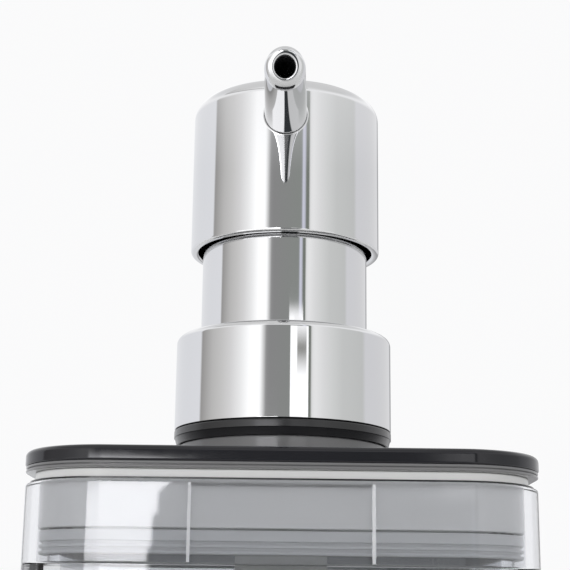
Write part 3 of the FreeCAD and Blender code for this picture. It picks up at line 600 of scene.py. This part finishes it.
def lid_liner():
    """Pale inner lid: the sheet under the cover plate, which shows as a band, and the rim below it."""
    low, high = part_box("lid_liner")
    shelf = high.z - LINER_THICKNESS
    edge = LINER_EDGE
    inner = LINER_RIM_INSET + LINER_WALL
    outline = arc(-LINER_INSET - edge, high.z - edge, edge, 90, 0)
    outline += [(-LINER_INSET, shelf), (-LINER_RIM_INSET, shelf)]
    outline += arc(-LINER_RIM_INSET - edge, low.z + edge, edge, 0, -90)
    outline += arc(edge - inner, low.z + edge, edge, -90, -180) + [(-inner, shelf)]
    rings = [round_ring(NECK_BORE, shelf), round_ring(NECK_BORE, high.z)] + plan_rings(outline)
    dress(skin("lid_liner_tray", rings, MATERIALS["white_plastic"]), "lid", "white_plastic", "lid_liner")


def mouth_seal():
    """Soft band round the container's mouth, with a broad rib above two narrow ones."""
    low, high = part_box("mouth_seal")
    step = SEAL_RIB + SEAL_GAP
    ribs = [(low.z, low.z + SEAL_RIB), (low.z + step, low.z + step + SEAL_RIB), (low.z + 2 * step, high.z)]
    outline = [(-SEAL_SEAT, low.z)]
    for bottom, top in ribs:
        outline += arc(-SEAL_INSET - SEAL_ROUND, bottom + SEAL_ROUND, SEAL_ROUND, -90, 0)
        outline += arc(-SEAL_INSET - SEAL_ROUND, top - SEAL_ROUND, SEAL_ROUND, 0, 90)
        if top < high.z:
            outline += [(-SEAL_INSET - SEAL_GROOVE, top), (-SEAL_INSET - SEAL_GROOVE, top + SEAL_GAP)]
    outline += [(-SEAL_SEAT, high.z)]
    piece = skin("mouth_seal_ribs", plan_rings(outline), MATERIALS["clear_silicone"])
    dress(piece, "container", "clear_silicone", "mouth_seal")


def cover_plate(layer, upper):
    """Dark upper part of the cover plate."""
    plate = arc(PLATE_OVERHANG - PLATE_EDGE, upper - PLATE_EDGE, PLATE_EDGE, 90, 0)
    plate += arc(PLATE_OVERHANG - PLATE_LOW_EDGE, layer + PLATE_LOW_EDGE, PLATE_LOW_EDGE, 0, -90)
    rings = round_rings([(NECK_BORE, layer), (NECK_BORE, upper)]) + plan_rings(plate)
    dress(skin("cover_plate", rings, MATERIALS["smoke_plastic"]), "lid", "smoke_plastic", "lid_plate")


def plate_layer(bottom, layer, finish):
    """Thinner lower part of the cover plate, with a bead along its top and one along its bottom."""
    out = PLATE_OVERHANG - LAYER_INSET - LAYER_BEAD
    beads = arc(out, layer - LAYER_BEAD, LAYER_BEAD, 90, -90)
    beads += [(out - LAYER_GROOVE, layer - 2 * LAYER_BEAD), (out - LAYER_GROOVE, bottom + 2 * LAYER_BEAD)]
    beads += arc(out, bottom + LAYER_BEAD, LAYER_BEAD, 90, -90)
    rings = round_rings([(NECK_BORE, bottom), (NECK_BORE, layer)]) + plan_rings(beads)
    dress(skin("plate_layer", rings, finish), "lid", "smoke_plastic")


def lid_boss(upper, finish):
    """Boss on the cover plate, and the neck on it that carries the pump."""
    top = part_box("seat_ring")[0].z
    neck_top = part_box("pump_gasket")[0].z
    outline = [(NECK_BORE, upper), (NECK_BORE, neck_top), (NECK_RADIUS - NECK_LEAD, neck_top)]
    outline += [(NECK_RADIUS, neck_top - NECK_LEAD), (NECK_RADIUS, top)]
    outline += arc(BOSS_RADIUS - BOSS_EDGE, top - BOSS_EDGE, BOSS_EDGE, 90, 0)
    outline += arc(BOSS_RADIUS + BOSS_EDGE, upper + BOSS_EDGE, BOSS_EDGE, 180, 270)
    dress(lathe("lid_boss", outline, finish), "lid", "smoke_plastic")


def lid_cover():
    """The whole cover: plate, lower layer, boss and neck."""
    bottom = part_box("lid_liner")[1].z
    layer, upper = bottom + PLATE_LAYER, bottom + PLATE_THICKNESS
    cover_plate(layer, upper)
    # The plate's lower layer and the boss take a paler copy of the smoke plastic: painted light
    thin = painted_lit_smoke()
    plate_layer(bottom, layer, thin)
    lid_boss(upper, thin)


def thread_section(angle, centre, share):
    """One section of the neck's thread, which grows with share from nearly nothing to its full size."""
    rise = centre + THREAD_PITCH * angle / (2 * math.pi)
    crest = NECK_RADIUS + THREAD_DEPTH * share
    outline = [(NECK_RADIUS - THREAD_ROOT_SINK, -THREAD_ROOT / 2), (crest, -THREAD_CREST / 2 * share),
               (crest, THREAD_CREST / 2 * share), (NECK_RADIUS - THREAD_ROOT_SINK, THREAD_ROOT / 2)]
    return [(radius * math.cos(angle), radius * math.sin(angle), rise + up) for radius, up in outline]


def neck_thread():
    """The single ridge that the closure screws on to."""
    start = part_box("seat_ring")[1].z + THREAD_START
    steps = round(THREAD_TURNS * THREAD_STEPS)
    sections = []
    for step in range(steps + 1):
        share = min(1.0, (step + THREAD_TIP) / THREAD_LEAD, (steps - step + THREAD_TIP) / THREAD_LEAD)
        sections.append(thread_section(2 * math.pi * step / THREAD_STEPS, start, share))
    dress(tube("neck_thread", sections, MATERIALS["smoke_plastic"]), "lid", "smoke_plastic")


def seat_ring():
    """Black ring under the closure: a straight upper band, and a lower one that leans in."""
    low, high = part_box("seat_ring")
    radius = high.x
    step = low.z + RING_STEP
    outline = [(RING_BORE, low.z), (radius - RING_UNDERCUT, low.z), (radius - RING_EDGE / 2, step)]
    outline += [(radius, step + RING_EDGE / 2)]
    outline += arc(radius - RING_EDGE, high.z - RING_EDGE, RING_EDGE, 0, 90) + [(RING_BORE, high.z)]
    dress(lathe("closure_ring", outline, MATERIALS["black_rubber"]), "lid", "black_rubber", "seat_ring")


def closure_cap():
    """Chromed shell of the screw closure."""
    low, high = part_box("closure_shell")
    radius, inner, rim = high.x, high.x - CLOSURE_WALL, RIM_EDGE
    outline = [(inner, low.z)] + arc(radius - rim, low.z + rim, rim, -90, 0)
    outline += arc(radius - CLOSURE_EDGE, high.z - CLOSURE_EDGE, CLOSURE_EDGE, 0, 90)
    outline += arc(CLOSURE_HOLE + rim, high.z - rim, rim, 90, 180)
    outline += [(CLOSURE_HOLE, high.z - CLOSURE_TOP_WALL), (inner, high.z - CLOSURE_TOP_WALL)]
    cap = lathe("closure_cap", outline, MATERIALS["chrome_plate"])
    dress(cap, "closure", "chrome_plate", "closure_shell")


def neck_sleeve():
    """Chromed sleeve that the head slides over."""
    low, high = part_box("neck_sleeve")
    radius, inner, rim = high.x, high.x - SLEEVE_WALL, RIM_EDGE
    outline = [(inner, low.z)] + arc(radius - rim, low.z + rim, rim, -90, 0)
    outline += arc(radius - SLEEVE_EDGE, high.z - SLEEVE_EDGE, SLEEVE_EDGE, 0, 90)
    outline += [(SLEEVE_BORE, high.z), (SLEEVE_BORE, high.z - SLEEVE_TOP_WALL)]
    outline += [(inner, high.z - SLEEVE_TOP_WALL)]
    dress(lathe("sleeve", outline, MATERIALS["chrome_plate"]), "pump_core", "chrome_plate", "neck_sleeve")


def head_cup():
    """Chromed head, with rounded edges at its lip and a soft top edge."""
    low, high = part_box("head_shell")
    radius, lip, rim = high.x, HEAD_LIP, low.z + HEAD_LIP_LIFT
    outline = arc(radius - HEAD_WALL + lip, rim + lip, lip, -180, -90)
    outline += arc(radius - lip, rim + lip, lip, -90, 0)
    outline += arc(radius - HEAD_EDGE, high.z - HEAD_EDGE, HEAD_EDGE, 0, 90)
    outline += [(0, high.z), (0, high.z - HEAD_WALL)]
    outline += arc(radius - HEAD_EDGE, high.z - HEAD_EDGE, HEAD_EDGE - HEAD_WALL, 90, 0)
    dress(lathe("head_cup", outline, MATERIALS["chrome_plate"]), "head", "chrome_plate", "head_shell")


def spout_place():
    """From the spout's own axis, which runs along +Z from the pump's axis, to its place on the head."""
    low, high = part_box("head_shell")
    rise = low.z + SPOUT_RISE + high.x * math.tan(SPOUT_TILT)
    turn = Matrix.Rotation(SPOUT_TURN, 4, "Z") @ Matrix.Rotation(math.radians(90) + SPOUT_TILT, 4, "X")
    return Matrix.Translation((0, 0, rise)) @ turn


def mouth_ring(radius, along):
    """A circle about the spout's axis, sheared so that the mouth faces down a little."""
    return [(x, y, along - (SPOUT_TIP - y) * math.tan(SPOUT_CUT)) for x, y, _ in round_ring(radius, along)]


def spout_tube(place):
    """Tapered spout with a full-round lip."""
    inner = SPOUT_BORE_EDGE
    lip = SPOUT_TIP - SPOUT_BORE - inner
    mouth = arc(SPOUT_TIP - lip, SPOUT_REACH - lip, lip, 0, 90)
    mouth += arc(SPOUT_BORE + inner, SPOUT_REACH - inner, inner, 90, 180)[1:]
    rings = [round_ring(SPOUT_ROOT, SPOUT_START)] + [mouth_ring(*point) for point in mouth]
    rings += [round_ring(SPOUT_BORE, SPOUT_START)]
    dress(skin("spout_tube", rings, MATERIALS["chrome_plate"], place), "head", "chrome_plate", "spout")


def spout_bore_painted_shade(place):
    """Black sleeve in the spout's bore: painted shade, standing for the darkness deep in the bore."""
    mouth, floor = SPOUT_REACH - SPOUT_BORE_EDGE, SPOUT_BORE_END + SPOUT_SHADE_FLOOR
    rings = [round_ring(SPOUT_BORE, SPOUT_BORE_END), mouth_ring(SPOUT_BORE, mouth)]
    rings += [mouth_ring(SPOUT_SHADE_RADIUS, mouth), round_ring(SPOUT_SHADE_RADIUS, floor)]
    rings += [round_ring(0, floor), round_ring(0, SPOUT_BORE_END)]
    dress(skin("spout_bore_painted_shade", rings, MATERIALS["black_rubber"], place), "head", "black_rubber")


def spout():
    """Spout, the black sleeve of painted shade in its bore, and the fillet where it meets the head."""
    place = spout_place()
    spout_tube(place)
    spout_bore_painted_shade(place)
    dress(skin("spout_fillet", fillet_rings(place), MATERIALS["chrome_plate"]), "head", "chrome_plate")


def along_to_head(place, angle, radius):
    """The point of the head's side at this angle and distance about the spout's axis."""
    across = Vector((radius * math.sin(angle), -radius * math.cos(angle), 0))
    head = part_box("head_shell")[1].x
    start, step = place @ across, place.to_3x3() @ Vector((0, 0, 1))
    a = step.x ** 2 + step.y ** 2
    b = start.x * step.x + start.y * step.y
    c = start.x ** 2 + start.y ** 2 - head ** 2
    return start + step * ((-b + math.sqrt(b * b - a * c)) / a)


def fillet_rings(place):
    """Rings of a fillet that leaves the spout's side and lands on the head's."""
    step = place.to_3x3() @ Vector((0, 0, 1))
    rings = [[] for _ in range(FILLET_STEPS + 2)]
    for k in range(AROUND):
        angle = 2 * math.pi * k / AROUND
        corner = along_to_head(place, angle, SPOUT_ROOT)
        landing = along_to_head(place, angle, SPOUT_ROOT + FILLET)
        leaving = corner + step * FILLET
        for index in range(FILLET_STEPS + 1):
            t = index / FILLET_STEPS
            rings[index].append(leaving * (1 - t) ** 2 + corner * (2 * t * (1 - t)) + landing * t ** 2)
        hidden = along_to_head(place, angle, SPOUT_ROOT - FILLET)
        rings[-1].append(hidden - step * FILLET)
    return rings


def spring_rise(turn, base, top):
    """Height of the wire's centre after so many turns: the end turns lie closed and the rest is even."""
    end = SPRING_END_PITCH * SPRING_END_TURNS
    if turn < SPRING_END_TURNS:
        return base + SPRING_END_PITCH * turn
    left = SPRING_TURNS - turn
    if left < SPRING_END_TURNS:
        return top - SPRING_END_PITCH * left
    share = (turn - SPRING_END_TURNS) / (SPRING_TURNS - 2 * SPRING_END_TURNS)
    return base + end + (top - base - 2 * end) * share


def return_spring():
    """Coil spring in the pump's housing, built at one length, though the real one shortens as the head goes
    down.
    """
    low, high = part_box("return_spring")
    mean = high.x - SPRING_WIRE
    steps = round(SPRING_TURNS * SPRING_STEPS)
    round_wire = [2 * math.pi * k / SPRING_SECTION for k in range(SPRING_SECTION)]
    sections = []
    for step in range(steps + 1):
        turn = SPRING_TURNS * step / steps
        angle, rise = 2 * math.pi * turn, spring_rise(turn, low.z + SPRING_WIRE, high.z - SPRING_WIRE)
        points = [(mean + SPRING_WIRE * math.cos(a), rise + SPRING_WIRE * math.sin(a)) for a in round_wire]
        sections.append([(r * math.cos(angle), r * math.sin(angle), z) for r, z in points])
    spring = tube("coil_spring", sections, MATERIALS["stainless_steel"])
    dress(spring, "pump_core", "stainless_steel", "return_spring")
    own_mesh(spring)


def finish_nodes():
    """Give every CAD node the finish of its slot in the record."""
    for row in frame["record"]["subparts"]:
        frame["nodes"][row["node"]].data.materials[0] = MATERIALS[row["material_slot"]]


def within(tree, source, limits, soft):
    """1 where an angle lies within its limits in degrees, with soft edges."""
    low, high = (math.radians(limit) for limit in limits)
    half = math.radians(soft) / 2
    rising = ramp(tree, source, 0.0, 1.0, low - half, low + half)
    falling = ramp(tree, source, 1.0, 0.0, high - half, high + half)
    return maths(tree, "MULTIPLY", rising, falling)


def room_by_bearing(tree, bearing):
    """The room's colour all round, without its patches."""
    panels = add_node(tree, "ShaderNodeValToRGB")
    stops = panels.color_ramp.elements
    while len(stops) < len(STUDIO):
        stops.new(0.5)
    for stop, (angle, colour) in zip(stops, STUDIO):
        stop.position = (angle + 180) / 360
        stop.color = (*colour, 1)
    tree.links.new(ramp(tree, bearing, 0.0, 1.0, -math.pi, math.pi), panels.inputs["Fac"])
    return panels.outputs["Color"]


def studio_world():
    """The room that lights the part: panels by bearing, patches, a bright ceiling, and a plain backdrop."""
    world = bpy.data.worlds.new("studio")
    bpy.context.scene.world = world
    world.use_nodes = True
    tree = world.node_tree
    place = add_node(tree, "ShaderNodeTexCoord")
    split = add_node(tree, "ShaderNodeSeparateXYZ")
    tree.links.new(place.outputs["Generated"], split.inputs["Vector"])
    x, y, z = (split.outputs[axis] for axis in "XYZ")
    bearing = maths(tree, "ARCTAN2", x, maths(tree, "MULTIPLY", y, -1.0))
    elevation = maths(tree, "ARCSINE", z)
    room = room_by_bearing(tree, bearing)
    for bearings, elevations, soft, colour in PATCHES:
        mask = maths(tree, "MULTIPLY", within(tree, bearing, bearings, soft),
                     within(tree, elevation, elevations, soft))
        room = mix_towards(tree, mask, room, colour)
    room = mix_towards(tree, ramp(tree, z, 0.0, 1.0, *CEILING_RAMP), room, CEILING)
    path = add_node(tree, "ShaderNodeLightPath")
    plain = maths(tree, "MAXIMUM", path.outputs["Is Camera Ray"], path.outputs["Is Transmission Ray"])
    tree.links.new(mix_towards(tree, plain, room, BACKDROP), tree.nodes["Background"].inputs["Color"])


def studio_camera():
    """The view from below the spout, looking up at the pump."""
    data = bpy.data.cameras.new("camera")
    data.lens = CAMERA_LENS
    data.sensor_width = CAMERA_SENSOR
    camera = bpy.data.objects.new("camera", data)
    turn = Matrix.Rotation(math.radians(90) + CAMERA_PITCH, 4, "X") @ Matrix.Rotation(CAMERA_ROLL, 4, "Z")
    camera.matrix_world = Matrix.Translation(CAMERA_PLACE) @ turn
    bpy.context.scene.collection.objects.link(camera)
    bpy.context.scene.camera = camera


def pale_floor():
    """A plain pale disc under the part that fades into the backdrop."""
    made, shader = material("floor")
    tree = made.node_tree
    shader.inputs["Roughness"].default_value = FLOOR_ROUGHNESS
    darker = [FLOOR_WANDER * c for c in FLOOR_COLOUR]
    colour = mix_colour(tree, noise(tree, FLOOR_CLOUD), FLOOR_COLOUR, darker)
    tree.links.new(colour, shader.inputs["Base Color"])
    place = add_node(tree, "ShaderNodeTexCoord")
    reach = add_node(tree, "ShaderNodeVectorMath", operation="LENGTH")
    tree.links.new(place.outputs["Object"], reach.inputs[0])
    fade = ramp(tree, reach.outputs["Value"], 1.0, 0.0, FLOOR_FADE, FLOOR_RADIUS)
    tree.links.new(fade, shader.inputs["Alpha"])
    shape = bmesh.new()
    bmesh.ops.create_circle(shape, cap_ends=True, radius=FLOOR_RADIUS, segments=AROUND)
    floor = mesh_piece("floor", shape, made)


finish_nodes()
mouth_seal()
lid_skirt()
lid_liner()
lid_cover()
neck_thread()
seat_ring()
closure_cap()
neck_sleeve()
head_cup()
spout()
return_spring()
pale_floor()
studio_world()
studio_camera()
bpy.context.scene.view_settings.view_transform = "Standard"
